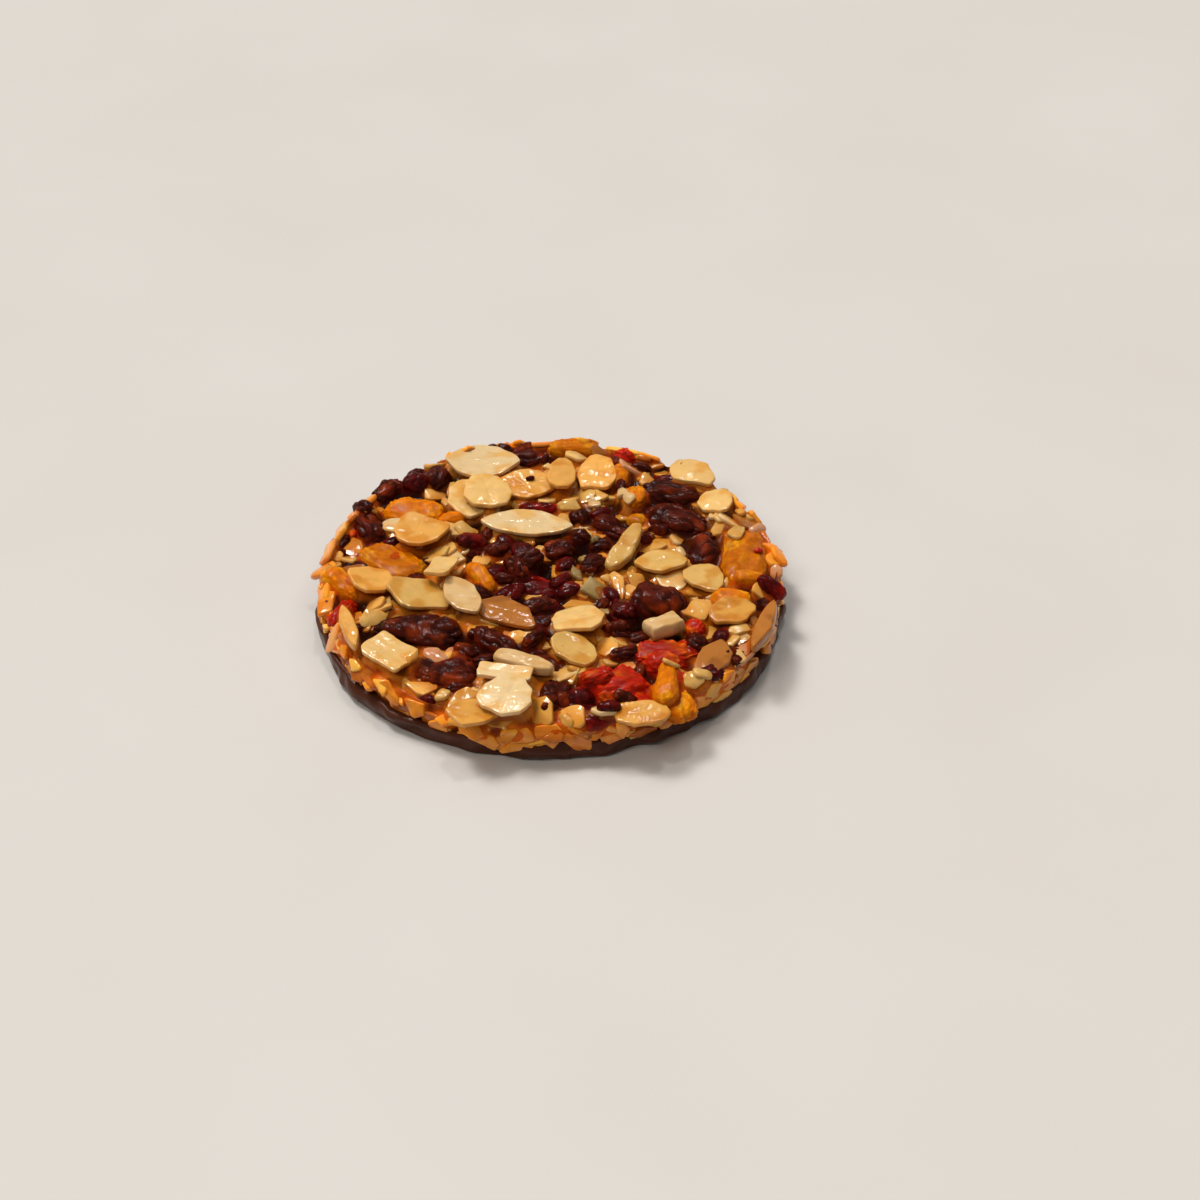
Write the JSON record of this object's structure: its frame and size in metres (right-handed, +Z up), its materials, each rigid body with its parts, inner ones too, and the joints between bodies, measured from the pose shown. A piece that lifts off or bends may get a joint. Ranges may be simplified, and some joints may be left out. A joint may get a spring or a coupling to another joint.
{
  "type": "florentine cookie",
  "caption": "Round flat cookie of almond slices, raisins and candied fruit set in caramel on a dark chocolate base.",
  "frame": {"origin": "middle of the flat chocolate underside, on the surface it rests on", "axes": "+Z up through the layers; +Y towards the back of the cookie as it is seen, +X to its right"},
  "size_m": [0.091, 0.0924, 0.0122],
  "materials": {
    "chocolate": "satin dark chocolate",
    "caramel": "clear amber caramel over baked nuts",
    "almond": "sliced almond under a caramel glaze",
    "raisin": "glossy wrinkled raisin",
    "dried_cranberry": "glossy dried cranberry",
    "candied_cherry": "glossy candied cherry",
    "candied_peel": "translucent candied orange"
  },
  "bodies": {
    "root": {"chocolate_base": "chocolate", "caramel_nut_layer": "caramel", "almond_block_01": "almond", "almond_flake_01": "almond", "almond_flake_02": "almond", "almond_flake_03": "almond", "almond_flake_04": "almond", "almond_flake_05": "almond", "almond_flake_06": "almond", "almond_flake_07": "almond", "almond_flake_08": "almond", "almond_flake_09": "almond", "almond_flake_10": "almond", "almond_flake_11": "almond", "almond_flake_12": "almond", "almond_flake_13": "almond", "almond_flake_14": "almond", "almond_flake_15": "almond", "almond_flake_16": "almond", "almond_flake_17": "almond", "almond_flake_18": "almond", "almond_flake_19": "almond", "almond_flake_20": "almond", "almond_flake_21": "almond", "almond_flake_22": "almond", "almond_flake_23": "almond", "almond_flake_24": "almond", "almond_flake_25": "almond", "almond_flake_26": "almond", "almond_stick_01": "almond", "almond_stick_02": "almond", "almond_stick_03": "almond", "almond_stick_04": "almond", "candied_cherry_01": "candied_cherry", "candied_cherry_02": "candied_cherry", "candied_cherry_03": "candied_cherry", "candied_peel_01": "candied_peel", "candied_peel_02": "candied_peel", "candied_peel_03": "candied_peel", "candied_peel_04": "candied_peel", "candied_peel_05": "candied_peel", "candied_peel_06": "candied_peel", "dried_cranberry_01": "dried_cranberry", "dried_cranberry_02": "dried_cranberry", "dried_cranberry_03": "dried_cranberry", "dried_cranberry_04": "dried_cranberry", "raisin_01": "raisin", "raisin_02": "raisin", "raisin_03": "raisin", "raisin_04": "raisin", "raisin_05": "raisin", "raisin_06": "raisin", "raisin_07": "raisin", "raisin_08": "raisin", "raisin_09": "raisin", "raisin_10": "raisin", "raisin_11": "raisin", "raisin_12": "raisin", "raisin_13": "raisin"}
  },
  "joints": []
}
